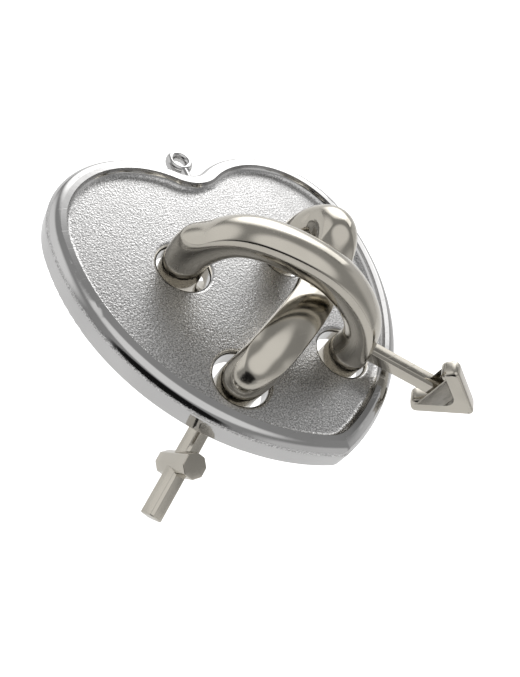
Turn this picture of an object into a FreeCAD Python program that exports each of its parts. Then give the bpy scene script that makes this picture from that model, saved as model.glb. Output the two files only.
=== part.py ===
"""Heart plate with a woven arrow: a two-casting disentanglement puzzle.

Millimetres. The plate lies in XY with its back face on z = 0. The notch of the
heart points to +Y and its tip to -Y. The four holes sit on a square.
"""
import math
import os

import FreeCAD
import Part
import Sketcher
from FreeCAD import Placement, Rotation, Vector

# name, value (mm, degrees or counts), meaning
SIZES = [
    ("plate_thk", 3.6, "thickness of the heart at its rim"),
    ("lobe_r", 12.73, "radius of the two upper lobes"),
    ("lobe_x", 9.1, "lobe centre, sideways"),
    ("lobe_y", 11.12, "lobe centre, up"),
    ("side_r", 29.45, "radius of the two long sides"),
    ("side_deg", 6.0, "angle on the lobe where the side takes over"),
    ("tip_r", 1.94, "radius of the heart's tip"),
    ("notch_r", 3.2, "radius of the notch between the lobes"),
    ("edge_r", 1.35, "rounding of the front outer edge"),
    ("back_r", 0.4, "rounding of the back outer edge"),
    ("rim_w", 1.95, "outer edge to the dished face"),
    ("dish_depth", 1.0, "depth of the dished face below the rim"),
    ("dish_tip_r", 4.5, "radius of the dished face's tip"),
    ("cove_r", 0.8, "cove between dished face and rim"),
    ("hole_r", 3.25, "radius of the four holes"),
    ("hole_pos", 7.475, "holes from the centre, sideways and up"),
    ("hole_edge_r", 0.55, "rounding of the hole edges"),
    ("eye_r", 1.8, "outside radius of the eyelet"),
    ("eye_bore_r", 0.8, "bore radius of the eyelet"),
    ("eye_thk", 1.6, "thickness of the eyelet"),
    ("eye_y", 24.1, "eyelet centre, up"),
    ("eye_neck_w", 1.7, "width of the eyelet's neck"),
    ("eye_edge_r", 0.35, "rounding of the eyelet's edges"),
    ("bar_r", 2.5, "radius of the woven bar"),
    ("leg_pos", 7.7, "bar legs from the centre, sideways and up"),
    ("facet", 0.8, "depth of the leaf-shaped facets"),
    ("facet_deg", 70.0, "half angle that a leaf-shaped facet spans"),
    ("stub_len", 3.4, "straight end of the bar behind the plate's middle"),
    ("shaft_w", 1.95, "side of the two square shafts"),
    ("shaft_cut", 0.3, "corner cut of the two square shafts"),
    ("shaft_z", 3.15, "head shaft above the plate's middle"),
    ("tail_z", 3.9, "tail shaft below the plate's middle, where it leaves the bar"),
    ("tail_offset", 0.8, "tail shaft's offset from the bar's leg"),
    ("bite", 1.2, "how far from the leg's axis a shaft starts, inside the bar"),
    ("head_len", 15.2, "head shaft, from the bar's leg"),
    ("tail_len", 14.4, "tail shaft, from the bar's leg"),
    ("tail_deg", 219.6, "heading of the tail shaft"),
    ("tail_tilt", 20.0, "tilt of the tail shaft away from the plate"),
    ("tail_roll", 40.0, "turn of the tail shaft's flats about its own length"),
    ("barb_half", 4.65, "half width of the arrowhead"),
    ("barb_back", 6.0, "how far the barbs sweep back"),
    ("barb_thk", 2.5, "arrowhead thickness"),
    ("barb_w", 2.2, "width of one barb"),
    ("barb_edge_r", 0.5, "rounding of the arrowhead's edges"),
    ("tip_dist", 17.1, "arrow tip from the bar's leg"),
    ("pin_af", 2.65, "cross pin, across flats"),
    ("pin_len", 6.2, "cross pin length"),
    ("pin_dist", 8.3, "cross pin from the bar's leg"),
    ("pin_deg", 70.0, "turn of the cross pin about the tail shaft"),
]

OCTAGON = 8

doc = FreeCAD.newDocument("heart_arrow_puzzle")
sheet = doc.addObject("Spreadsheet::Sheet", "sizes")
for row, (name, value, meaning) in enumerate(SIZES, start=1):
    sheet.set("A%d" % row, name)
    sheet.set("B%d" % row, "%.6g" % value)
    sheet.set("C%d" % row, meaning)
    sheet.setAlias("B%d" % row, name)
doc.recompute()


def size(name):
    """Plain value of one sheet cell."""
    return float(sheet.get(name))


def polar(centre, radius, angle):
    """Point on a circle in the XY plane."""
    return Vector(centre.x + radius * math.cos(angle), centre.y + radius * math.sin(angle), 0)


def heart_arcs(inset, tip_radius):
    """The closed heart outline as (start, middle, end) points, offset inwards."""
    lobe = Vector(size("lobe_x"), size("lobe_y"), 0)
    lobe_r = size("lobe_r") - inset
    side_r = size("side_r") - inset
    notch_r = size("notch_r") + inset
    join = math.radians(size("side_deg"))
    notch = Vector(0, lobe.y + math.sqrt((lobe_r + notch_r) ** 2 - lobe.x ** 2), 0)
    side = polar(lobe, lobe_r - side_r, join)
    tip = Vector(0, side.y - math.sqrt((side_r - tip_radius) ** 2 - side.x ** 2), 0)
    notch_end = math.atan2(lobe.y - notch.y, lobe.x)
    lobe_start = notch_end + math.pi
    side_end = math.atan2(tip.y - side.y, -side.x)
    down = -math.pi / 2
    right = [
        [polar(lobe, lobe_r, lobe_start + (join - lobe_start) * k) for k in (0, 0.5, 1)],
        [polar(side, side_r, join + (side_end - join) * k) for k in (0, 0.5, 1)],
    ]
    tip_ends = [polar(tip, tip_radius, side_end), polar(tip, tip_radius, down)]
    notch_ends = [polar(notch, notch_r, notch_end), polar(notch, notch_r, down)]
    mirrored = [[Vector(-p.x, p.y, 0) for p in reversed(arc)] for arc in reversed(right)]
    bottom = [tip_ends[0], tip_ends[1], Vector(-tip_ends[0].x, tip_ends[0].y, 0)]
    top = [Vector(-notch_ends[0].x, notch_ends[0].y, 0), notch_ends[1], notch_ends[0]]
    return right + [bottom] + mirrored + [top]


def new_body(name):
    """An empty PartDesign body whose label is the node name."""
    body = doc.addObject("PartDesign::Body", name)
    body.Label = name
    return body


def new_sketch(body, name, plane):
    """A sketch on one of the body's own origin planes."""
    origin = [f for f in body.Origin.OriginFeatures if f.Role == plane][0]
    sketch = body.newObject("Sketcher::SketchObject", name)
    sketch.AttachmentSupport = [(origin, "")]
    sketch.MapMode = "FlatFace"
    return sketch


def heart_sketch(body, name, inset, tip_radius):
    """A closed heart of six arcs, pinned end to end."""
    sketch = new_sketch(body, name, "XY_Plane")
    arcs = heart_arcs(inset, tip_radius)
    first_is_start = []
    for start, middle, end in arcs:
        arc = Part.Arc(start, middle, end)
        sketch.addGeometry(arc, False)
        first = sketch.getPoint(sketch.GeometryCount - 1, 1)
        first_is_start.append(first.distanceToPoint(start) < 1e-6)
    count = len(arcs)
    for i in range(count):
        j = (i + 1) % count
        end_pos = 2 if first_is_start[i] else 1
        start_pos = 1 if first_is_start[j] else 2
        sketch.addConstraint(Sketcher.Constraint("Coincident", i, end_pos, j, start_pos))
    return sketch


def edges_at(shape, z, keep=None):
    """Names of the edges that lie wholly at height z."""
    names = []
    for i, edge in enumerate(shape.Edges, start=1):
        box = edge.BoundBox
        if abs(box.ZMin - z) > 1e-4 or abs(box.ZMax - z) > 1e-4:
            continue
        if keep is None or keep(edge):
            names.append("Edge%d" % i)
    return names


def is_hole_edge(edge):
    """True for a full circle of the hole radius."""
    curve = edge.Curve
    return curve.TypeId == "Part::GeomCircle" and abs(curve.Radius - size("hole_r")) < 1e-4


def add_fillet(body, name, base, names, radius_name):
    """A fillet whose radius comes from the sheet."""
    fillet = body.newObject("PartDesign::Fillet", name)
    fillet.Base = (base, names)
    fillet.Radius = size(radius_name)
    fillet.setExpression("Radius", "sizes." + radius_name)
    doc.recompute()
    return fillet


# heart plate -----------------------------------------------------------------
plate = new_body("heart_plate")
outline = heart_sketch(plate, "HeartOutline", 0, size("tip_r"))
slab = plate.newObject("PartDesign::Pad", "Slab")
slab.Profile = outline
slab.Length = size("plate_thk")
slab.setExpression("Length", "sizes.plate_thk")
doc.recompute()

front_edge = add_fillet(
    plate, "FrontEdge", slab, edges_at(slab.Shape, size("plate_thk")), "edge_r"
)
back_edge = add_fillet(plate, "BackEdge", front_edge, edges_at(front_edge.Shape, 0), "back_r")

dish_outline = heart_sketch(plate, "DishOutline", size("rim_w"), size("dish_tip_r"))
dish_outline.AttachmentOffset = Placement(Vector(0, 0, size("plate_thk")), Rotation())
dish_outline.setExpression("AttachmentOffset.Base.z", "sizes.plate_thk")
dish = plate.newObject("PartDesign::Pocket", "Dish")
dish.Profile = dish_outline
dish.Length = size("dish_depth")
dish.setExpression("Length", "sizes.dish_depth")
doc.recompute()
face_z = size("plate_thk") - size("dish_depth")
cove = add_fillet(plate, "Cove", dish, edges_at(dish.Shape, face_z), "cove_r")

holes_sketch = new_sketch(plate, "HoleCircles", "XY_Plane")
for sx in (-1, 1):
    for sy in (-1, 1):
        centre = Vector(sx * size("hole_pos"), sy * size("hole_pos"), 0)
        holes_sketch.addGeometry(Part.Circle(centre, Vector(0, 0, 1), size("hole_r")), False)
holes = plate.newObject("PartDesign::Pocket", "Holes")
holes.Profile = holes_sketch
holes.Type = "ThroughAll"
holes.Midplane = True
doc.recompute()
hole_front = add_fillet(
    plate, "HoleFrontEdges", holes, edges_at(holes.Shape, face_z, is_hole_edge), "hole_edge_r"
)
hole_back = add_fillet(
    plate, "HoleBackEdges", hole_front, edges_at(hole_front.Shape, 0, is_hole_edge), "hole_edge_r"
)
plate.Placement = Placement()

# eyelet ----------------------------------------------------------------------
eyelet = new_body("hanging_eyelet")
eye_sketch = new_sketch(eyelet, "EyeletOutline", "XY_Plane")
eye_centre = Vector(0, size("eye_y"), 0)
half_neck = size("eye_neck_w") / 2
neck_top = eye_centre.y - math.sqrt(size("eye_r") ** 2 - half_neck ** 2)
notch_floor = heart_arcs(0, size("tip_r"))[-1][1].y
neck_foot = notch_floor - 0.7
corner_r = Vector(half_neck, neck_top, 0)
corner_l = Vector(-half_neck, neck_top, 0)
foot_r = Vector(half_neck, neck_foot, 0)
foot_l = Vector(-half_neck, neck_foot, 0)
crown = Vector(0, eye_centre.y + size("eye_r"), 0)
eye_sketch.addGeometry(Part.Arc(corner_r, crown, corner_l), False)
eye_sketch.addGeometry(Part.LineSegment(corner_l, foot_l), False)
eye_sketch.addGeometry(Part.LineSegment(foot_l, foot_r), False)
eye_sketch.addGeometry(Part.LineSegment(foot_r, corner_r), False)
eye_sketch.addGeometry(Part.Circle(eye_centre, Vector(0, 0, 1), size("eye_bore_r")), False)
eye_pad = eyelet.newObject("PartDesign::Pad", "EyeletPad")
eye_pad.Profile = eye_sketch
eye_pad.Length = size("eye_thk")
eye_pad.setExpression("Length", "sizes.eye_thk")
doc.recompute()


def is_ring_edge(edge):
    """True for the eyelet's outside arc."""
    curve = edge.Curve
    return curve.TypeId == "Part::GeomCircle" and abs(curve.Radius - size("eye_r")) < 1e-4


eye_round = eyelet.newObject("PartDesign::Fillet", "EyeletRound")
ring_edges = edges_at(eye_pad.Shape, 0, is_ring_edge)
ring_edges += edges_at(eye_pad.Shape, size("eye_thk"), is_ring_edge)
eye_round.Base = (eye_pad, ring_edges)
eye_round.Radius = size("eye_edge_r")
eye_round.setExpression("Radius", "sizes.eye_edge_r")
doc.recompute()
eyelet.Placement = Placement(Vector(0, 0, (size("plate_thk") - size("eye_thk")) / 2), Rotation())

# woven bar -------------------------------------------------------------------
mid_z = size("plate_thk") / 2
leg = size("leg_pos")
bar_r = size("bar_r")
UP = Vector(0, 0, 1)
DIAGONAL = Vector(1, -1, 0).normalize()
LEG_TOP_LEFT = Vector(-leg, leg, 0)
LEG_TOP_RIGHT = Vector(leg, leg, 0)
LEG_LOW_LEFT = Vector(-leg, -leg, 0)
LEG_LOW_RIGHT = Vector(leg, -leg, 0)
reach = leg * math.sqrt(2)

# centreline poles of the over-passing arch: along the diagonal, up
OVER_ARCH = [
    (reach, 0),
    (reach, 1.3),
    (12.1, 5.8),
    (5.9, 10.6),
    (0.7, 11.3),
    (-7.8, 10.1),
    (-10.9, 4.2),
    (-reach, 3.0),
    (-reach, 0),
]
over_poles = [DIAGONAL * along + UP * high for along, high in OVER_ARCH]

# centreline poles of the under-passing arch, upper right leg to lower left leg
under_poles = [
    LEG_TOP_RIGHT,
    LEG_TOP_RIGHT + UP * 4.4,
    Vector(9.8, 7.2, 7.5),
    Vector(8.05, 3.0, 10.1),
    Vector(4.6, -1.0, 4.7),
    Vector(2.4, -2.75, 6.05),
    Vector(-7.05, -8.1, 4.2),
    LEG_LOW_LEFT + UP * 0.9,
    LEG_LOW_LEFT,
]
UNDER_FACE = Vector(-0.48, -0.3, 0.86)


def spline(poles):
    """Smooth cubic curve that starts and ends on its outer poles."""
    curve = Part.BSplineCurve()
    curve.buildFromPoles(poles, False, 3)
    return curve


def ease(low, high, value):
    """0 below low, 1 above high, with an easy curve between."""
    k = min(1.0, max(0.0, (value - low) / (high - low)))
    return k * k * (3 - 2 * k)


def section(centre, tangent, outward, leaf):
    """Round section with a shallow crown towards outward; leaf 0 keeps it round."""
    out = (outward - tangent * outward.dot(tangent)).normalize()
    side = tangent.cross(out)
    edge = math.radians(size("facet_deg"))
    crown = bar_r - size("facet") * leaf
    left = centre + out * (bar_r * math.cos(edge)) + side * (bar_r * math.sin(edge))
    right = centre + out * (bar_r * math.cos(edge)) - side * (bar_r * math.sin(edge))
    front = Part.Arc(right, centre + out * crown, left).toShape()
    back = Part.Arc(left, centre - out * bar_r, right).toShape()
    return Part.Wire([front, back])


def woven_arch(poles, count, face, leaf_ends):
    """Arch through sections along a curve, its facet fading out at both ends."""
    curve = spline(poles)
    wires = []
    for i in range(count):
        u = i / (count - 1)
        centre = curve.value(u)
        tangent = Vector(*curve.tangent(u)[0])
        leaf = ease(leaf_ends[0], leaf_ends[1], u) * ease(1 - leaf_ends[3], 1 - leaf_ends[2], 1 - u)
        wires.append(section(centre, tangent, face(centre), leaf))
    return Part.makeLoft(wires, True, False)


def rounded_stub(leg_point):
    """Straight end of the bar behind the plate, with a domed tip."""
    length = size("stub_len")
    rod = Part.makeCylinder(bar_r, length, leg_point, UP * -1)
    dome = Part.makeSphere(bar_r, leg_point - UP * length)
    return rod.fuse(dome)


def back_arch():
    """Half ring behind the plate that joins the two upper legs."""
    ring = Part.makeTorus(leg, bar_r, Vector(0, leg, 0), Vector(0, 1, 0))
    size_of_box = 4 * leg
    below = Part.makeBox(
        size_of_box, size_of_box, size_of_box, Vector(-size_of_box / 2, -leg, -size_of_box)
    )
    return ring.common(below)


over = woven_arch(over_poles, 33, lambda centre: centre, (0.03, 0.16, 0.76, 0.86))
under = woven_arch(under_poles, 37, lambda centre: UNDER_FACE, (0.30, 0.42, 0.82, 0.90))
woven = over.fuse([back_arch(), under, rounded_stub(LEG_LOW_RIGHT), rounded_stub(LEG_LOW_LEFT)])
woven = woven.removeSplitter()
bar = doc.addObject("Part::Feature", "arrow_bar")
bar.Label = "arrow_bar"
bar.Shape = woven
bar.Placement = Placement(Vector(0, 0, mid_z), Rotation())


# shafts, arrowhead and cross pin ---------------------------------------------
def square_shaft(name, length_name):
    """Square bar with cut corners along its own Z, both ends of it inside the body."""
    body = new_body(name)
    sketch = new_sketch(body, name + "_section", "XY_Plane")
    half = size("shaft_w") / 2
    flat = half - size("shaft_cut")
    corners = [(half, flat), (flat, half), (-flat, half), (-half, flat)]
    corners += [(-half, -flat), (-flat, -half), (flat, -half), (half, -flat)]
    for i, (x, y) in enumerate(corners):
        next_x, next_y = corners[(i + 1) % len(corners)]
        sketch.addGeometry(Part.LineSegment(Vector(x, y, 0), Vector(next_x, next_y, 0)), False)
    pad = body.newObject("PartDesign::Pad", name + "_length")
    pad.Profile = sketch
    pad.Length = size(length_name) - size("bite")
    pad.setExpression("Length", "sizes.%s - sizes.bite" % length_name)
    return body


def along_axis(direction, upright):
    """Turn that carries Z onto direction and Y onto upright."""
    x_way = upright.cross(direction)
    frame = FreeCAD.Matrix(
        x_way.x, upright.x, direction.x, 0,
        x_way.y, upright.y, direction.y, 0,
        x_way.z, upright.z, direction.z, 0,
        0, 0, 0, 1,
    )
    return Placement(frame).Rotation


bite = size("bite")
head_dir = Vector(DIAGONAL)
head_leg = LEG_LOW_RIGHT + UP * (mid_z + size("shaft_z"))
head_shaft = square_shaft("head_shaft", "head_len")
head_shaft.Placement = Placement(head_leg + head_dir * bite, along_axis(head_dir, UP))

tail_angle = math.radians(size("tail_deg"))
tail_tilt = math.radians(size("tail_tilt"))
tail_flat = Vector(math.cos(tail_angle), math.sin(tail_angle), 0)
tail_side = Vector(-tail_flat.y, tail_flat.x, 0)
tail_dir = tail_flat * math.cos(tail_tilt) - UP * math.sin(tail_tilt)
tail_up = tail_dir.cross(tail_side)
tail_leg = LEG_LOW_LEFT - tail_side * size("tail_offset") + UP * (mid_z - size("tail_z"))
tail_shaft = square_shaft("tail_shaft", "tail_len")
tail_roll = math.radians(size("tail_roll"))
tail_flats = tail_up * math.cos(tail_roll) + tail_side * math.sin(tail_roll)
tail_shaft.Placement = Placement(tail_leg + tail_dir * bite, along_axis(tail_dir, tail_flats))

head = new_body("arrowhead")
head_sketch = new_sketch(head, "Chevron", "XY_Plane")
half = size("barb_half")
sweep = size("barb_back")
slope = math.hypot(half, sweep)
inner_back = size("barb_w") * slope / half
tip = Vector(0, 0, 0)
outer_end = Vector(-sweep, half, 0)
cut_back = Vector(-size("barb_w") * half / slope, -size("barb_w") * sweep / slope, 0)
inner_end = outer_end + cut_back
crotch = Vector(-inner_back, 0, 0)
chevron = [tip, outer_end, inner_end, crotch]
chevron += [Vector(inner_end.x, -inner_end.y, 0), Vector(outer_end.x, -outer_end.y, 0)]
for i, corner in enumerate(chevron):
    follower = chevron[(i + 1) % len(chevron)]
    head_sketch.addGeometry(Part.LineSegment(corner, follower), False)
head_pad = head.newObject("PartDesign::Pad", "ChevronPad")
head_pad.Profile = head_sketch
head_pad.Length = size("barb_thk")
head_pad.setExpression("Length", "sizes.barb_thk")
head_pad.Midplane = True
doc.recompute()
head_round = head.newObject("PartDesign::Fillet", "ChevronRound")
head_round.Base = (head_pad, ["Edge%d" % (i + 1) for i in range(len(head_pad.Shape.Edges))])
head_round.Radius = size("barb_edge_r")
head_round.setExpression("Radius", "sizes.barb_edge_r")
doc.recompute()
side_dir = head_dir.cross(UP)
head_frame = FreeCAD.Matrix(
    head_dir.x, UP.x, side_dir.x, 0,
    head_dir.y, UP.y, side_dir.y, 0,
    head_dir.z, UP.z, side_dir.z, 0,
    0, 0, 0, 1,
)
head.Placement = Placement(head_leg + head_dir * size("tip_dist"), Placement(head_frame).Rotation)

cross_pin = doc.addObject("Part::Prism", "tail_cross_pin")
cross_pin.Label = "tail_cross_pin"
cross_pin.Polygon = OCTAGON
cross_pin.setExpression("Circumradius", "sizes.pin_af / 2 / cos(22.5 deg)")
cross_pin.setExpression("Height", "sizes.pin_len")
pin_turn = math.radians(size("pin_deg"))
pin_dir = tail_side * math.cos(pin_turn) + tail_up * math.sin(pin_turn)
pin_start = tail_leg + tail_dir * size("pin_dist") - pin_dir * (size("pin_len") / 2)
cross_pin.Placement = Placement(pin_start, Rotation(UP, pin_dir))
doc.recompute()

# export ----------------------------------------------------------------------
NODES = [plate, eyelet, bar, head_shaft, head, tail_shaft, cross_pin]

for obj in doc.Objects:
    for flag in ("Invalid", "Error"):
        if flag in obj.State:
            raise RuntimeError("%s is %s" % (obj.Name, flag))

os.makedirs("parts", exist_ok=True)
for node in NODES:
    shape = node.Shape
    if shape.isNull() or not shape.isValid():
        raise RuntimeError("%s has a bad shape" % node.Label)
    if not node.Label.islower() or len(shape.Solids) != 1:
        raise RuntimeError("%s has %d solids" % (node.Label, len(shape.Solids)))
    shape.exportStep("parts/%s.step" % node.Label)
    box = shape.BoundBox
    print(node.Label, "volume %.2f" % shape.Volume, "z %.2f to %.2f" % (box.ZMin, box.ZMax))
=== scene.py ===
"""Heart plate with a woven arrow, a two-casting puzzle, finished for rendering.

Lengths in the tables below are millimetres; every mesh is in metres.
"""
import math

import bmesh
import bpy
from bpy.props import FloatProperty, FloatVectorProperty, PointerProperty
from mathutils import Matrix, Vector


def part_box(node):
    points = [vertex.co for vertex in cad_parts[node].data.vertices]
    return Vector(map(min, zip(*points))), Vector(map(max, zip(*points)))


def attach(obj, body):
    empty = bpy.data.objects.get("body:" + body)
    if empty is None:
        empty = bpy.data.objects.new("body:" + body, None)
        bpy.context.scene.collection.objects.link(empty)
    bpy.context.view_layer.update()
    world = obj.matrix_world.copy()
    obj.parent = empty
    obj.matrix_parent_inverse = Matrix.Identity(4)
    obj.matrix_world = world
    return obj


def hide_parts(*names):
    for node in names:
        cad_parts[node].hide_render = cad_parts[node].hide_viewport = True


bl_info = {
    "name": "Heart and Arrow Puzzle",
    "version": (1, 0, 0),
    "blender": (4, 5, 0),
    "location": "View3D > Sidebar > Heart Puzzle",
    "description": "Builds and finishes the two castings of a heart and arrow puzzle",
    "category": "Object",
}

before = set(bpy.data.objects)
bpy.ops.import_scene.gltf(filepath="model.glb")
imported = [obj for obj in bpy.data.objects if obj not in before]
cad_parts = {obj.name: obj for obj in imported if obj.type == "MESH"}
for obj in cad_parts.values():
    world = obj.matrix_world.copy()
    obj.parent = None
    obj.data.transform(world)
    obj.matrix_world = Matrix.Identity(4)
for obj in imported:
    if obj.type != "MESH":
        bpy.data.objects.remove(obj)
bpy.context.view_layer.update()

MM = 0.001
PLATE_LOW, PLATE_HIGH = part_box("heart_plate")
MID_Z = (PLATE_LOW.z + PLATE_HIGH.z) / 2 / MM

# height of the dished face above the back of the plate
DISH_Z = 2.6

# bar route: legs stand this far from the centre, sideways and up
LEG = 7.7
STUB = 3.4
REACH = LEG * math.sqrt(2)
# poles of the over-passing arch (along the diagonal, up), then of the under-passing arch (x, y, up)
OVER_POLES = [
    (REACH, 0), (REACH, 1.3), (12.1, 5.8), (5.9, 10.6), (0.7, 11.3),
    (-7.8, 10.1), (-10.9, 4.2), (-REACH, 3.0), (-REACH, 0),
]
UNDER_POLES = [
    (LEG, LEG, 0), (LEG, LEG, 4.4), (9.8, 7.2, 7.5), (8.05, 3.0, 10.1), (4.6, -1.0, 4.7),
    (2.4, -2.75, 6.05), (-7.05, -8.1, 4.2), (-LEG, -LEG, 0.9), (-LEG, -LEG, 0),
]
UNDER_FACE = (-0.48, -0.3, 0.86)
UP = Vector((0, 0, 1))
DIAGONAL = Vector((1, -1, 0)).normalized()
HEAD_Z = 3.15
TAIL_TURN = math.radians(219.6)
TAIL_TILT = math.radians(20)
TAIL_FLAT = Vector((math.cos(TAIL_TURN), math.sin(TAIL_TURN), 0))
TAIL_SIDE = Vector((-TAIL_FLAT.y, TAIL_FLAT.x, 0))
TAIL_DIR = TAIL_FLAT * math.cos(TAIL_TILT) - UP * math.sin(TAIL_TILT)
TAIL_UP = TAIL_DIR.cross(TAIL_SIDE)
TAIL_ROOT = Vector((-LEG, -LEG, MID_Z - 3.9)) - TAIL_SIDE * 0.8
TAIL_ROLL = math.radians(40)
PIN_TURN = math.radians(70)

# thin shafts, arrowhead and cross pin
SHAFT_WIDTH = 1.95
SHAFT_CUT = 0.3
SHAFT_START = 1.2
HEAD_LENGTH = 14.0
TAIL_LENGTH = 13.2
TIP_DISTANCE = 17.1
BARB_HALF = 4.65
BARB_SWEEP = 6.0
BARB_WIDTH = 2.2
BARB_THICKNESS = 2.5
PIN_ACROSS = 2.65
PIN_LENGTH = 6.2
PIN_DISTANCE = 8.3

# camera axes, and its place in millimetres from the middle of the plate
CAMERA_RIGHT = Vector((0.7763, -0.4495, 0.4420))
CAMERA_BACK = Vector((-0.6126, -0.3722, 0.6973))
CAMERA_PLACE = Vector((-50.2, -30.5, 57.14))
CAMERA_LENS = 37.28
CAMERA_SHIFT = (-0.0034, -0.0357)


# settings --------------------------------------------------------------------
class CastingSizes(bpy.types.PropertyGroup):
    bar_radius: FloatProperty(
        name="Bar radius", description="Radius of the woven bar",
        default=2.5 * MM, min=1.5 * MM, max=2.6 * MM, subtype="DISTANCE", unit="LENGTH",
    )
    crown_radius: FloatProperty(
        name="Crown radius", description="Cross-section radius of the leaf facets",
        default=3.9 * MM, min=3 * MM, max=20 * MM, subtype="DISTANCE", unit="LENGTH",
    )
    crown_depth: FloatProperty(
        name="Facet depth", description="How deep the leaf facets cut into the bar",
        default=0.8 * MM, min=0.1 * MM, max=1.2 * MM, subtype="DISTANCE", unit="LENGTH",
    )
    corner_radius: FloatProperty(
        name="Corner radius", description="Rounding of the small parts' corners",
        default=0.3 * MM, min=0.05 * MM, max=0.8 * MM, subtype="DISTANCE", unit="LENGTH",
    )


class MetalFinish(bpy.types.PropertyGroup):
    plate_colour: FloatVectorProperty(
        name="Plate metal", description="Colour of the bright plating on the heart",
        default=(0.58, 0.575, 0.57), min=0, max=1, size=3, subtype="COLOR",
    )
    arrow_colour: FloatVectorProperty(
        name="Arrow metal", description="Colour of the warmer plating on the arrow",
        default=(0.54, 0.51, 0.45), min=0, max=1, size=3, subtype="COLOR",
    )
    grain_size: FloatProperty(
        name="Blasted grain", description="Size of the sand-blasted grains",
        default=0.24 * MM, min=0.05 * MM, max=1 * MM, subtype="DISTANCE", unit="LENGTH",
    )
    scratch: FloatProperty(
        name="Scratches", description="Strength of the fine handling scratches",
        default=0.5, min=0, max=1, subtype="FACTOR",
    )


class StudioLook(bpy.types.PropertyGroup):
    floor_drop: FloatProperty(
        name="Floor drop", description="How far the floor lies below the plate",
        default=0.1, min=0.02, max=1, subtype="DISTANCE", unit="LENGTH",
    )
    key_power: FloatProperty(
        name="Key light", description="Power of the large soft light",
        default=0.6, min=0, max=50, unit="POWER",
    )
    floor_colour: FloatVectorProperty(
        name="Floor", description="Colour of the pale floor",
        default=(0.9, 0.9, 0.9), min=0, max=1, size=3, subtype="COLOR",
    )


# mesh helpers ----------------------------------------------------------------
def smooth_step(low, high, value):
    """0 below low, 1 above high, with an easy curve between."""
    k = min(1.0, max(0.0, (value - low) / (high - low)))
    return k * k * (3 - 2 * k)


def piece_from(mesh_builder, name, body, nodes, material):
    """Turns a bmesh in millimetres into a smooth piece that rides on a body."""
    for vertex in mesh_builder.verts:
        vertex.co *= MM
    bmesh.ops.recalc_face_normals(mesh_builder, faces=mesh_builder.faces[:])
    for face in mesh_builder.faces:
        face.smooth = True
    mesh = bpy.data.meshes.new(name)
    mesh_builder.to_mesh(mesh)
    mesh_builder.free()
    piece = bpy.data.objects.new(name, mesh)
    bpy.context.scene.collection.objects.link(piece)
    piece.data.materials.append(material)
    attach(piece, body)
    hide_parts(*nodes)
    return piece


def bridge_rings(bm, rings):
    """Quads between neighbouring rings of equal length."""
    for low, high in zip(rings, rings[1:]):
        count = len(low)
        for i in range(count):
            j = (i + 1) % count
            bm.faces.new((low[i], low[j], high[j], high[i]))


# woven bar -------------------------------------------------------------------
def spline_point(poles, u):
    """Point on a clamped uniform cubic B-spline, for u from 0 to 1."""
    spans = len(poles) - 3
    knots = [0.0] * 3 + [i / spans for i in range(spans + 1)] + [1.0] * 3
    k = min(spans - 1, int(u * spans)) + 3
    work = [Vector(poles[i]) for i in range(k - 3, k + 1)]
    for level in range(1, 4):
        for i in range(3, level - 1, -1):
            low = knots[k - 3 + i]
            high = knots[k + 1 + i - level]
            share = (u - low) / (high - low)
            work[i] = work[i - 1].lerp(work[i], share)
    return work[3]


def bar_stations():
    """Centre, outward direction and facet depth along the bar, end to end."""
    stations = []
    low_right = Vector((LEG, -LEG, 0))
    for k in range(24):
        stations.append((low_right - UP * STUB * (1 - k / 24), DIAGONAL, 0.0))
    over = [DIAGONAL * along + UP * high for along, high in OVER_POLES]
    for k in range(241):
        u = k / 240
        centre = spline_point(over, u)
        leaf = smooth_step(0.03, 0.16, u) * smooth_step(0.86, 0.76, u)
        stations.append((centre, centre, leaf))
    behind = Vector((0, LEG, 0))
    for k in range(1, 111):
        turn = math.pi * k / 110
        inward = Vector((math.cos(turn), 0, math.sin(turn)))
        twist = math.radians(135 - 167 * smooth_step(0, 1, k / 110))
        outward = inward * math.cos(twist) + Vector((0, 1, 0)) * math.sin(twist)
        stations.append((behind - inward * LEG, outward, 0.0))
    for k in range(1, 301):
        u = k / 300
        leaf = smooth_step(0.30, 0.42, u) * smooth_step(0.90, 0.82, u)
        stations.append((spline_point(UNDER_POLES, u), Vector(UNDER_FACE), leaf))
    low_left = Vector((-LEG, -LEG, 0))
    for k in range(1, 25):
        stations.append((low_left - UP * STUB * k / 24, Vector(UNDER_FACE), 0.0))
    return stations


def bar_ring(radius, crown_radius, depth):
    """Cross-section as (angle from outward, distance): a round with a crowned facet."""
    shift = crown_radius - radius + depth
    cosine = (crown_radius ** 2 - radius ** 2 - shift ** 2) / (2 * radius * shift)
    edge = math.acos(max(-1.0, min(1.0, cosine)))
    edge = max(edge, math.radians(3))
    blend = min(math.radians(4), edge / 3)
    angles = [-edge + blend + (edge - blend) * 2 * i / 20 for i in range(21)]
    angles += [edge - blend * 0.5, edge, edge + blend * 0.5]
    start = edge + blend
    end = 2 * math.pi - edge - blend
    angles += [start + (end - start) * i / 44 for i in range(45)]
    angles += [-edge - blend * 0.5, -edge, -edge + blend * 0.5]
    ring = []
    for angle in angles:
        inner = crown_radius ** 2 - (shift * math.sin(angle)) ** 2
        crown = -shift * math.cos(angle) + math.sqrt(max(inner, 0))
        gap = crown - radius
        soft = 0.035
        ring.append((angle, (crown + radius - math.sqrt(gap * gap + soft * soft)) / 2 + soft / 2))
    return ring


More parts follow.
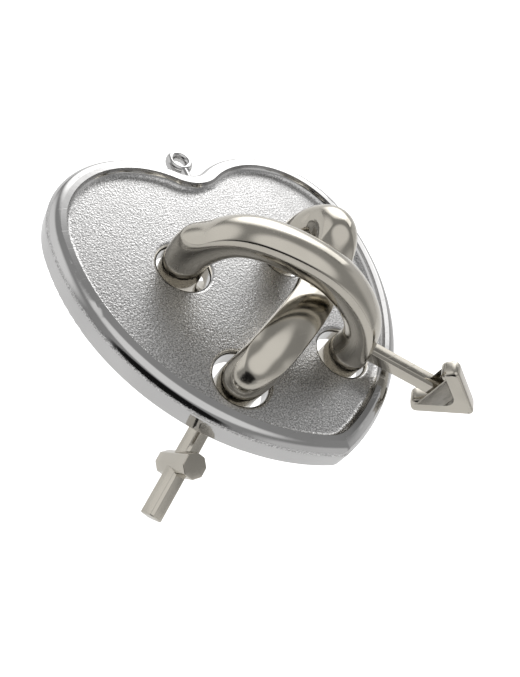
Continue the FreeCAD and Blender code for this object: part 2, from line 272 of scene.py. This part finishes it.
def build_bar(sizes):
    """The single bar that weaves through the four holes."""
    radius = sizes.bar_radius / MM
    crown_radius = sizes.crown_radius / MM
    depth = sizes.crown_depth / MM
    stations = bar_stations()
    bm = bmesh.new()
    rings = []
    count = len(stations)
    tangents = []
    for i in range(count):
        before = stations[max(0, i - 1)][0]
        after = stations[min(count - 1, i + 1)][0]
        tangents.append((after - before).normalized())
    outwards = []
    for (_, outward, _), tangent in zip(stations, tangents):
        outwards.append((outward - tangent * outward.dot(tangent)).normalized())
    for _ in range(30):
        eased = outwards[:]
        for i in range(1, count - 1):
            mean = outwards[i - 1] + outwards[i] * 2 + outwards[i + 1]
            mean -= tangents[i] * mean.dot(tangents[i])
            eased[i] = mean.normalized()
        outwards = eased
    for (centre, _, leaf), tangent, out in zip(stations, tangents, outwards):
        side = tangent.cross(out)
        middle = centre + UP * MID_Z
        ring = []
        for angle, distance in bar_ring(radius, crown_radius, max(depth * leaf, 1e-4)):
            ring.append(bm.verts.new(middle + (out * math.cos(angle) + side * math.sin(angle)) * distance))
        rings.append(ring)
    for end, step in ((0, -1), (-1, 1)):
        centre = stations[end][0] + UP * MID_Z
        out = tangents[end] * step
        caps = []
        for k in range(1, 8):
            turn = math.pi / 2 * k / 8
            caps.append([
                bm.verts.new(centre + (v.co - centre) * math.cos(turn) + out * radius * math.sin(turn))
                for v in rings[end]
            ])
        pole = bm.verts.new(centre + out * radius)
        last = caps[-1]
        for i in range(len(last)):
            bm.faces.new((last[i], last[(i + 1) % len(last)], pole))
        if end == 0:
            rings = caps[::-1] + rings
        else:
            rings = rings + caps
    bridge_rings(bm, rings)
    return bm


# small parts -----------------------------------------------------------------
def softened(outline, corner, parts=3):
    """Outline with each corner replaced by a small arc."""
    points = []
    count = len(outline)
    for i, here in enumerate(outline):
        before = (outline[i - 1] - here).normalized()
        after = (outline[(i + 1) % count] - here).normalized()
        for k in range(parts + 1):
            t = k / parts
            start = here + before * corner
            end = here + after * corner
            points.append(start * (1 - t) ** 2 + here * 2 * t * (1 - t) + end * t * t)
    return points


def straight_bar(start, along, upright, outline, length, corner, crown):
    """Bar of one outline with softened end rims and slightly domed ends."""
    bm = bmesh.new()
    along = along.normalized()
    upright = (upright - along * upright.dot(along)).normalized()
    side = upright.cross(along)
    width = max(p.length for p in outline)
    rims = []
    for k in range(6):
        turn = math.pi / 2 * k / 5
        rims.append((corner * (1 - math.sin(turn)), corner * (1 - math.cos(turn))))
    middle = [(corner + (length - 2 * corner) * k / 16, 0.0) for k in range(1, 16)]
    profile = rims[::-1] + middle + [(length - along_by, shrink) for along_by, shrink in rims]
    profile.sort()
    rings = []
    for along_by, shrink in profile:
        scale = 1 - shrink / width
        rings.append([
            bm.verts.new(start + along * along_by + (side * p.x + upright * p.y) * scale) for p in outline
        ])
    bridge_rings(bm, rings)
    for ring, offset in ((rings[0], -crown), (rings[-1], crown)):
        centre = sum((v.co for v in ring), Vector()) / len(ring)
        pole = bm.verts.new(centre + along * offset)
        inner = [bm.verts.new(centre + (v.co - centre) * 0.6 + along * offset * 0.7) for v in ring]
        bridge_rings(bm, [ring, inner])
        for i in range(len(inner)):
            bm.faces.new((inner[i], inner[(i + 1) % len(inner)], pole))
    return bm


def cut_square(width, cut):
    """Square outline with cut corners."""
    half = width / 2
    flat = half - cut
    corners = [(half, -flat), (half, flat), (flat, half), (-flat, half)]
    corners += [(-half, flat), (-half, -flat), (-flat, -half), (flat, -half)]
    return [Vector(c) for c in corners]


def octagon(across):
    """Regular octagon outline, flat side up."""
    reach = across / 2 / math.cos(math.radians(22.5))
    turns = [math.radians(22.5 + 45 * k) for k in range(8)]
    return [Vector((math.cos(t), math.sin(t))) * reach for t in turns]


def build_chevron(sizes):
    """Arrowhead: two barbs with rounded ends, standing square to the plate."""
    corner = sizes.corner_radius / MM
    half, sweep, width, thick = BARB_HALF, BARB_SWEEP, BARB_WIDTH, BARB_THICKNESS
    slope = math.hypot(half, sweep)
    back = Vector((-width * half / slope, -width * sweep / slope))
    crotch = Vector((-width * slope / half, 0))
    upper = Vector((-sweep, half))
    outline = [Vector((0, 0)), upper, upper + back, crotch]
    outline += [Vector((p.x, -p.y)) for p in (upper + back, upper)]
    outline = softened(outline, 0.85, 8)
    side = DIAGONAL.cross(UP)
    origin = Vector((LEG, -LEG, MID_Z + HEAD_Z)) + DIAGONAL * TIP_DISTANCE
    inside = Vector((-2.6, 0))
    bm = bmesh.new()
    rings = []
    steps = 6
    round_by = corner * 2
    profile = []
    for k in range(steps + 1):
        turn = math.pi / 2 * k / steps
        profile.append((-thick / 2 + round_by * (1 - math.sin(turn)), round_by * (1 - math.cos(turn))))
    profile = profile[::-1]
    profile += [(-offset, inset) for offset, inset in reversed(profile)]
    normals = []
    for i in range(len(outline)):
        step = outline[(i + 1) % len(outline)] - outline[i - 1]
        normals.append(Vector((step.y, -step.x)).normalized())
    if (outline[0] - inside).dot(normals[0]) < 0:
        normals = [-n for n in normals]
    for offset, inset in profile:
        ring = []
        for here, normal in zip(outline, normals):
            p = here - normal * inset
            ring.append(bm.verts.new(origin + DIAGONAL * p.x + UP * p.y + side * offset))
        rings.append(ring)
    bridge_rings(bm, rings)
    for ring in (rings[0], rings[-1]):
        face = bm.faces.new(ring)
        bmesh.ops.triangulate(bm, faces=[face], quad_method="BEAUTY", ngon_method="EAR_CLIP")
    return bm


def build_eyelet():
    """Ring on a short tapered neck that stands in the notch of the heart."""
    low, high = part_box("hanging_eyelet")
    bm = bmesh.new()
    centre = Vector((0, high.y / MM - 1.8, (low.z + high.z) / 2 / MM))
    rings = []
    for i in range(48):
        turn = 2 * math.pi * i / 48
        out = Vector((math.sin(turn), math.cos(turn), 0))
        ring = []
        for j in range(20):
            lap = 2 * math.pi * j / 20
            ring.append(bm.verts.new(
                centre + out * (1.28 + 0.52 * math.cos(lap)) + Vector((0, 0, 0.7 * math.sin(lap)))
            ))
        rings.append(ring)
    bridge_rings(bm, rings + rings[:1])
    foot = low.y / MM
    top = centre.y - 1.0
    neck = []
    for k in range(9):
        share = k / 8
        half = 0.62 + 0.5 * (1 - share) ** 3
        ring = []
        for j in range(24):
            lap = 2 * math.pi * j / 24
            ring.append(bm.verts.new(
                Vector((half * math.cos(lap), foot + (top - foot) * share, centre.z + 0.66 * math.sin(lap)))
            ))
        neck.append(ring)
    bridge_rings(bm, neck)
    bm.faces.new(neck[0])
    bm.faces.new(neck[-1])
    return bm


# finishes --------------------------------------------------------------------
def new_group(name, inputs, outputs):
    """Empty shader node group with its sockets and its two end nodes."""
    group = bpy.data.node_groups.new(name, "ShaderNodeTree")
    for label, default, low, high in inputs:
        socket = group.interface.new_socket(label, in_out="INPUT", socket_type="NodeSocketFloat")
        socket.default_value = default
        socket.min_value = low
        socket.max_value = high
    for label in outputs:
        group.interface.new_socket(label, in_out="OUTPUT", socket_type="NodeSocketFloat")
    return group, group.nodes.new("NodeGroupInput"), group.nodes.new("NodeGroupOutput")


def math_node(tree, operation, first, second=None, third=None):
    """One maths step; each operand is a socket or a number."""
    made = tree.nodes.new("ShaderNodeMath")
    made.operation = operation
    for socket, value in zip(made.inputs, (first, second, third)):
        if value is None:
            continue
        if isinstance(value, bpy.types.NodeSocket):
            tree.links.new(value, socket)
        else:
            socket.default_value = value
    return made.outputs[0]


def ramp_node(tree, factor, low, high):
    """Smooth 0 to 1 mask of a factor between two values."""
    made = tree.nodes.new("ShaderNodeMapRange")
    made.interpolation_type = "SMOOTHSTEP"
    tree.links.new(factor, made.inputs["Value"])
    made.inputs["From Min"].default_value = low
    made.inputs["From Max"].default_value = high
    return made.outputs["Result"]


def noise_node(tree, vector, scale, detail, roughness=0.5, distortion=0.0):
    """Noise value at a scale in cycles per metre."""
    made = tree.nodes.new("ShaderNodeTexNoise")
    tree.links.new(vector, made.inputs["Vector"])
    if isinstance(scale, bpy.types.NodeSocket):
        tree.links.new(scale, made.inputs["Scale"])
    else:
        made.inputs["Scale"].default_value = scale
    made.inputs["Detail"].default_value = detail
    made.inputs["Roughness"].default_value = roughness
    made.inputs["Distortion"].default_value = distortion
    return made.outputs["Fac"]


def cast_ripple_group():
    """Slow waviness that a polished casting keeps."""
    group, start, end = new_group(
        "Cast Ripple", [("Scale", 260.0, 1, 5000), ("Amount", 1.0, 0, 10)], ["Height", "Cloud"]
    )
    place = group.nodes.new("ShaderNodeTexCoord").outputs["Object"]
    slow = noise_node(group, place, start.outputs["Scale"], 1.5, 0.4)
    quick_scale = math_node(group, "MULTIPLY", start.outputs["Scale"], 4.5)
    quick = noise_node(group, place, quick_scale, 2.0, 0.5)
    both = math_node(group, "MULTIPLY_ADD", quick, 0.12, slow)
    group.links.new(math_node(group, "MULTIPLY", both, start.outputs["Amount"]), end.inputs["Height"])
    group.links.new(ramp_node(group, slow, 0.35, 0.65), end.inputs["Cloud"])
    return group


def fine_scratch_group():
    """Hairline marks in three directions, from handling and polishing."""
    group, start, end = new_group(
        "Fine Scratches", [("Density", 0.5, 0, 1), ("Amount", 1.0, 0, 10)], ["Height", "Mask"]
    )
    place = group.nodes.new("ShaderNodeTexCoord").outputs["Object"]
    total = None
    for turn, tilt, stretch in ((0.4, 0.2, 7000.0), (1.5, 1.1, 9000.0), (2.6, 0.7, 6000.0)):
        mapping = group.nodes.new("ShaderNodeMapping")
        group.links.new(place, mapping.inputs["Vector"])
        mapping.inputs["Rotation"].default_value = (tilt, turn * 0.5, turn)
        mapping.inputs["Scale"].default_value = (180.0, stretch, stretch)
        lines = noise_node(group, mapping.outputs["Vector"], 1.0, 1.0, 0.5, 0.15)
        cut = math_node(group, "SUBTRACT", 0.80, math_node(group, "MULTIPLY", start.outputs["Density"], 0.14))
        over = math_node(group, "SUBTRACT", lines, cut)
        mark = math_node(group, "MULTIPLY", over, 14.0)
        mark.node.use_clamp = True
        total = mark if total is None else math_node(group, "MAXIMUM", total, mark)
    group.links.new(total, end.inputs["Mask"])
    deep = math_node(group, "MULTIPLY", total, start.outputs["Amount"])
    group.links.new(math_node(group, "MULTIPLY", deep, -1.0), end.inputs["Height"])
    return group


def blasted_grain_group():
    """Sand-blasted surface: packed pits of one size over finer tooth, plus a speckle mask that is grain tone
    and painted sparkle.
    """
    group, start, end = new_group(
        "Blasted Grain", [("Size", 0.00016, 0.00001, 0.01), ("Amount", 1.0, 0, 10)],
        ["Height", "Speckle And Painted Sparkle", "Tone"],
    )
    place = group.nodes.new("ShaderNodeTexCoord").outputs["Object"]
    scale = math_node(group, "DIVIDE", 1.0, start.outputs["Size"])
    cells = group.nodes.new("ShaderNodeTexVoronoi")
    cells.feature = "SMOOTH_F1"
    cells.inputs["Smoothness"].default_value = 0.6
    group.links.new(place, cells.inputs["Vector"])
    group.links.new(scale, cells.inputs["Scale"])
    tooth = noise_node(group, place, math_node(group, "MULTIPLY", scale, 1.3), 2.0, 0.7)
    patch = noise_node(group, place, 420.0, 3.0, 0.55)
    pits = math_node(group, "MULTIPLY_ADD", tooth, 0.9, cells.outputs["Distance"])
    group.links.new(math_node(group, "MULTIPLY", pits, start.outputs["Amount"]), end.inputs["Height"])
    # speckle mask from the tooth: grain tone, and painted sparkle where it lifts grains brighter
    group.links.new(ramp_node(group, tooth, 0.40, 0.60), end.inputs["Speckle And Painted Sparkle"])
    group.links.new(ramp_node(group, patch, 0.3, 0.7), end.inputs["Tone"])
    return group


def group_node(tree, group, **inputs):
    """Places a group and sets its inputs by name."""
    made = tree.nodes.new("ShaderNodeGroup")
    made.node_tree = group
    for key, value in inputs.items():
        made.inputs[key].default_value = value
    return made


def mix_colour(tree, factor, first, second):
    """Colour mix; each colour is a socket or a plain triple."""
    made = tree.nodes.new("ShaderNodeMix")
    made.data_type = "RGBA"
    tree.links.new(factor, made.inputs["Factor"])
    for socket, value in ((made.inputs["A"], first), (made.inputs["B"], second)):
        if isinstance(value, bpy.types.NodeSocket):
            tree.links.new(value, socket)
        else:
            socket.default_value = (*value, 1)
    return made.outputs["Result"]


def shaded(colour, factor):
    """A colour made darker or lighter."""
    return tuple(min(1.0, c * factor) for c in colour)


def metal_base(name):
    """Material with a Principled shader set as bare metal."""
    material = bpy.data.materials.new(name)
    material.use_nodes = True
    shader = material.node_tree.nodes["Principled BSDF"]
    shader.inputs["Metallic"].default_value = 1.0
    return material, material.node_tree, shader


def bump_node(tree, height, distance, strength, normal=None):
    """Bump from a height socket, stacked on another bump if given."""
    made = tree.nodes.new("ShaderNodeBump")
    made.inputs["Distance"].default_value = distance
    made.inputs["Strength"].default_value = strength
    tree.links.new(height, made.inputs["Height"])
    if normal is not None:
        tree.links.new(normal, made.inputs["Normal"])
    return made.outputs["Normal"]


def polished_metal(name, colour, roughness, groups, scratch, ripple_depth):
    """Plated and polished casting: slow ripple, smudges and hairline marks."""
    material, tree, shader = metal_base(name)
    ripple = group_node(tree, groups["ripple"], Scale=240.0, Amount=1.0)
    marks = group_node(tree, groups["scratches"], Density=scratch, Amount=1.0)
    clouded = mix_colour(tree, ripple.outputs["Cloud"], shaded(colour, 0.95), shaded(colour, 1.04))
    worn = math_node(tree, "MULTIPLY", marks.outputs["Mask"], 0.25)
    tree.links.new(mix_colour(tree, worn, clouded, shaded(colour, 1.15)), shader.inputs["Base Color"])
    smudge = math_node(tree, "MULTIPLY_ADD", ripple.outputs["Cloud"], 0.05, roughness)
    rough = math_node(tree, "MULTIPLY_ADD", marks.outputs["Mask"], 0.08, smudge)
    tree.links.new(rough, shader.inputs["Roughness"])
    normal = bump_node(tree, ripple.outputs["Height"], ripple_depth, 1.0)
    normal = bump_node(tree, marks.outputs["Height"], 0.000004, 0.6, normal)
    tree.links.new(normal, shader.inputs["Normal"])
    return material


def heart_metal(name, colour, groups, finish):
    """Bright plating on wall and rim, sand-blasted on the dished face."""
    material, tree, shader = metal_base(name)
    place = tree.nodes.new("ShaderNodeTexCoord").outputs["Object"]
    height = tree.nodes.new("ShaderNodeSeparateXYZ")
    tree.links.new(place, height.inputs[0])
    floor_z = DISH_Z * MM
    above = ramp_node(tree, height.outputs["Z"], floor_z + 0.45 * MM, floor_z + 0.02 * MM)
    below = ramp_node(tree, height.outputs["Z"], floor_z - 0.12 * MM, floor_z - 0.005 * MM)
    blasted = math_node(tree, "MULTIPLY", above, below)
    grain = group_node(tree, groups["grain"], Size=finish.grain_size, Amount=1.0)
    ripple = group_node(tree, groups["ripple"], Scale=150.0, Amount=1.0)
    marks = group_node(tree, groups["scratches"], Density=finish.scratch, Amount=1.0)
    bright = mix_colour(tree, ripple.outputs["Cloud"], shaded(colour, 0.96), shaded(colour, 1.03))
    # blasted colour: darker grains are grain tone, and the grains lifted to 1.25 are painted sparkle
    dull = mix_colour(tree, grain.outputs["Speckle And Painted Sparkle"], shaded(colour, 0.55), shaded(colour, 1.25))
    patchy = math_node(tree, "MULTIPLY", grain.outputs["Tone"], 0.3)
    dull = mix_colour(tree, patchy, dull, shaded(colour, 0.8))
    tree.links.new(mix_colour(tree, blasted, bright, dull), shader.inputs["Base Color"])
    bright_rough = math_node(tree, "MULTIPLY_ADD", ripple.outputs["Cloud"], 0.03, 0.06)
    dull_rough = math_node(tree, "MULTIPLY_ADD", grain.outputs["Tone"], 0.05, 0.27)
    gap = math_node(tree, "SUBTRACT", dull_rough, bright_rough)
    rough = math_node(tree, "MULTIPLY_ADD", gap, blasted, bright_rough)
    tree.links.new(rough, shader.inputs["Roughness"])
    pits = math_node(tree, "MULTIPLY", grain.outputs["Height"], blasted)
    normal = bump_node(tree, pits, 0.000022, 1.0)
    normal = bump_node(tree, ripple.outputs["Height"], 0.00003, 1.0, normal)
    plain = math_node(tree, "SUBTRACT", 1.0, blasted)
    lines = math_node(tree, "MULTIPLY", marks.outputs["Height"], plain)
    normal = bump_node(tree, lines, 0.000004, 0.6, normal)
    tree.links.new(normal, shader.inputs["Normal"])
    return material


def finish_groups():
    """The shared effect groups, made once."""
    makers = {"ripple": cast_ripple_group, "scratches": fine_scratch_group, "grain": blasted_grain_group}
    names = {"ripple": "Cast Ripple", "scratches": "Fine Scratches", "grain": "Blasted Grain"}
    return {key: bpy.data.node_groups.get(names[key]) or make() for key, make in makers.items()}


def arrow_metal():
    """The arrow's warm plating, shared by all its pieces."""
    finish = bpy.context.scene.puzzle_finish
    known = bpy.data.materials.get("Warm Nickel")
    if known:
        return known
    return polished_metal(
        "Warm Nickel", tuple(finish.arrow_colour), 0.11, finish_groups(), finish.scratch, 0.000014
    )


# operators -------------------------------------------------------------------
class PUZZLE_OT_woven_bar(bpy.types.Operator):
    """Build the bar that weaves through the four holes"""

    bl_idname = "puzzle.woven_bar"
    bl_label = "Woven Bar"

    def execute(self, context):
        bm = build_bar(context.scene.puzzle_sizes)
        piece_from(bm, "woven_bar", "arrow", ["arrow_bar"], arrow_metal())
        return {"FINISHED"}


class PUZZLE_OT_shafts(bpy.types.Operator):
    """Build the two thin square shafts with cut corners"""

    bl_idname = "puzzle.shafts"
    bl_label = "Head and Tail Shafts"

    def execute(self, context):
        outline = softened(cut_square(SHAFT_WIDTH, SHAFT_CUT), 0.07)
        start = Vector((LEG, -LEG, MID_Z + HEAD_Z)) + DIAGONAL * SHAFT_START
        bm = straight_bar(start, DIAGONAL, UP, outline, HEAD_LENGTH, 0.15, 0.04)
        piece_from(bm, "head_rod", "arrow", ["head_shaft"], arrow_metal())
        upright = TAIL_UP * math.cos(TAIL_ROLL) + TAIL_SIDE * math.sin(TAIL_ROLL)
        start = TAIL_ROOT + TAIL_DIR * SHAFT_START
        bm = straight_bar(start, TAIL_DIR, upright, outline, TAIL_LENGTH, 0.15, 0.04)
        piece_from(bm, "tail_rod", "arrow", ["tail_shaft"], arrow_metal())
        return {"FINISHED"}


class PUZZLE_OT_arrowhead(bpy.types.Operator):
    """Build the chevron on the end of the head shaft"""

    bl_idname = "puzzle.arrowhead"
    bl_label = "Arrowhead"

    def execute(self, context):
        bm = build_chevron(context.scene.puzzle_sizes)
        piece_from(bm, "arrow_chevron", "arrow", ["arrowhead"], arrow_metal())
        return {"FINISHED"}


class PUZZLE_OT_cross_pin(bpy.types.Operator):
    """Build the octagonal pin through the tail shaft"""

    bl_idname = "puzzle.cross_pin"
    bl_label = "Cross Pin"

    def execute(self, context):
        along = TAIL_SIDE * math.cos(PIN_TURN) + TAIL_UP * math.sin(PIN_TURN)
        start = TAIL_ROOT + TAIL_DIR * PIN_DISTANCE - along * (PIN_LENGTH / 2)
        outline = softened(octagon(PIN_ACROSS), 0.12)
        bm = straight_bar(start, along, TAIL_DIR, outline, PIN_LENGTH, 0.12, 0.03)
        piece_from(bm, "fletching_pin", "arrow", ["tail_cross_pin"], arrow_metal())
        return {"FINISHED"}


class PUZZLE_OT_heart_plate(bpy.types.Operator):
    """Finish the heart plate and build its eyelet"""

    bl_idname = "puzzle.heart_plate"
    bl_label = "Heart Plate and Eyelet"

    def execute(self, context):
        finish = context.scene.puzzle_finish
        metal = heart_metal("Heart Plating", tuple(finish.plate_colour), finish_groups(), finish)
        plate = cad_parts["heart_plate"]
        plate.data.materials.clear()
        plate.data.materials.append(metal)
        bright = polished_metal(
            "Bright Plating", tuple(finish.plate_colour), 0.1, finish_groups(), finish.scratch, 0.00003
        )
        piece_from(build_eyelet(), "eyelet_ring", "heart", ["hanging_eyelet"], bright)
        return {"FINISHED"}


def area_light(name, place, aim, size, power):
    """Soft rectangular light that the camera doesn't see directly."""
    data = bpy.data.lights.new(name, "AREA")
    data.shape = "RECTANGLE"
    data.size, data.size_y = size
    data.energy = power
    light = bpy.data.objects.new(name, data)
    light.location = place
    light.rotation_euler = (Vector(aim) - Vector(place)).to_track_quat("-Z", "Y").to_euler()
    light.visible_camera = False
    bpy.context.scene.collection.objects.link(light)


# soft panels around the puzzle: direction, cosines where each fades out and in, brightness
SURROUNDINGS = (
    ((0.42, 0.72, 0.30), 0.87, 0.985, 2.2),
    ((-0.15, -0.10, 1.00), 0.82, 0.93, 0.62),
    ((0.88, 0.30, 0.62), 0.965, 0.985, -0.16),
    ((0.95, 0.05, 0.10), 0.75, 0.93, 0.30),
    ((-0.60, 0.75, 0.22), 0.78, 0.93, 0.60),
    ((0.25, -0.95, 0.15), 0.78, 0.92, 0.35),
)


def sky_patch(tree, direction, toward, low, high):
    """Soft mask around one direction of the surroundings."""
    dot = tree.nodes.new("ShaderNodeVectorMath")
    dot.operation = "DOT_PRODUCT"
    tree.links.new(direction, dot.inputs[0])
    dot.inputs[1].default_value = Vector(toward).normalized()
    return ramp_node(tree, dot.outputs["Value"], low, high)


class PUZZLE_OT_studio(bpy.types.Operator):
    """Set the pale floor, the soft lights and the camera"""

    bl_idname = "puzzle.studio"
    bl_label = "Studio"

    def execute(self, context):
        look = context.scene.puzzle_look
        scene = context.scene
        scene.view_settings.view_transform = "Standard"
        bm = bmesh.new()
        drop = look.floor_drop
        rings = []
        turns = [k * math.pi / 24 for k in range(48)]
        for radius in (0.05, 0.2, 0.6, 2.0, 6.0):
            rings.append([
                bm.verts.new((radius * math.cos(turn), radius * math.sin(turn), -drop)) for turn in turns
            ])
        bridge_rings(bm, rings)
        bm.faces.new(rings[0])
        mesh = bpy.data.meshes.new("floor")
        bm.to_mesh(mesh)
        bm.free()
        floor = bpy.data.objects.new("floor", mesh)
        scene.collection.objects.link(floor)
        material = bpy.data.materials.new("Pale Floor")
        material.use_nodes = True
        shader = material.node_tree.nodes["Principled BSDF"]
        shader.inputs["Roughness"].default_value = 0.9
        shader.inputs["Specular IOR Level"].default_value = 0.0
        shader.inputs["Base Color"].default_value = (*look.floor_colour, 1)
        shader.inputs["Emission Color"].default_value = (1, 1, 1, 1)
        seen = material.node_tree.nodes.new("ShaderNodeLightPath").outputs["Is Camera Ray"]
        glow = math_node(material.node_tree, "MULTIPLY_ADD", seen, 0.7, 0.22)
        material.node_tree.links.new(glow, shader.inputs["Emission Strength"])
        mesh.materials.append(material)

        world = bpy.data.worlds.new("Studio Surroundings")
        scene.world = world
        world.use_nodes = True
        tree = world.node_tree
        direction = tree.nodes.new("ShaderNodeTexCoord").outputs["Generated"]
        glow = 0.34
        for toward, low, high, gain in SURROUNDINGS:
            patch = sky_patch(tree, direction, toward, low, high)
            glow = math_node(tree, "MULTIPLY_ADD", patch, gain, glow)
        near = sky_patch(tree, direction, (-0.80, -0.50, 0.27), 0.86, 0.92)
        shade = math_node(tree, "MULTIPLY_ADD", near, -0.97, 1.0)
        glow = math_node(tree, "MULTIPLY", glow, shade)
        back = tree.nodes["Background"]
        tree.links.new(glow, back.inputs["Strength"])
        back.inputs["Color"].default_value = (1, 1, 1, 1)

        area_light("floor_softbox", (0.5, 0.38, 0.35), (0.12, 0.09, -0.1), (0.5, 0.3), look.key_power)

        camera_data = bpy.data.cameras.new("studio_camera")
        camera = bpy.data.objects.new("studio_camera", camera_data)
        scene.collection.objects.link(camera)
        right = CAMERA_RIGHT.normalized()
        back_way = CAMERA_BACK.normalized()
        up = back_way.cross(right).normalized()
        right = up.cross(back_way)
        turn = Matrix((right, up, back_way)).transposed().to_4x4()
        turn.translation = (CAMERA_PLACE + UP * MID_Z) * MM
        camera.matrix_world = turn
        camera_data.lens = CAMERA_LENS
        camera_data.sensor_width = 36
        camera_data.shift_x, camera_data.shift_y = CAMERA_SHIFT
        camera_data.clip_start = 0.005
        scene.camera = camera
        return {"FINISHED"}


class PUZZLE_PT_panel(bpy.types.Panel):
    """Sidebar panel that lists the build steps and their settings"""

    bl_label = "Heart Puzzle"
    bl_idname = "PUZZLE_PT_panel"
    bl_space_type = "VIEW_3D"
    bl_region_type = "UI"
    bl_category = "Heart Puzzle"

    def draw(self, context):
        layout = self.layout
        for settings in (context.scene.puzzle_sizes, context.scene.puzzle_finish, context.scene.puzzle_look):
            box = layout.box()
            for key in settings.__annotations__:
                box.prop(settings, key)
        for step in STEPS:
            layout.operator(step.bl_idname)


STEPS = (
    PUZZLE_OT_heart_plate,
    PUZZLE_OT_woven_bar,
    PUZZLE_OT_shafts,
    PUZZLE_OT_arrowhead,
    PUZZLE_OT_cross_pin,
    PUZZLE_OT_studio,
)
CLASSES = (CastingSizes, MetalFinish, StudioLook, *STEPS, PUZZLE_PT_panel)


def register():
    """Adds the classes and their settings to Blender."""
    for cls in CLASSES:
        bpy.utils.register_class(cls)
    bpy.types.Scene.puzzle_sizes = PointerProperty(type=CastingSizes)
    bpy.types.Scene.puzzle_finish = PointerProperty(type=MetalFinish)
    bpy.types.Scene.puzzle_look = PointerProperty(type=StudioLook)


def unregister():
    """Takes the classes and settings out again."""
    del bpy.types.Scene.puzzle_look
    del bpy.types.Scene.puzzle_finish
    del bpy.types.Scene.puzzle_sizes
    for cls in reversed(CLASSES):
        bpy.utils.unregister_class(cls)


def main():
    """Builds everything in order."""
    register()
    bpy.ops.puzzle.heart_plate()
    bpy.ops.puzzle.woven_bar()
    bpy.ops.puzzle.shafts()
    bpy.ops.puzzle.arrowhead()
    bpy.ops.puzzle.cross_pin()
    bpy.ops.puzzle.studio()


if __name__ == "__main__":
    main()
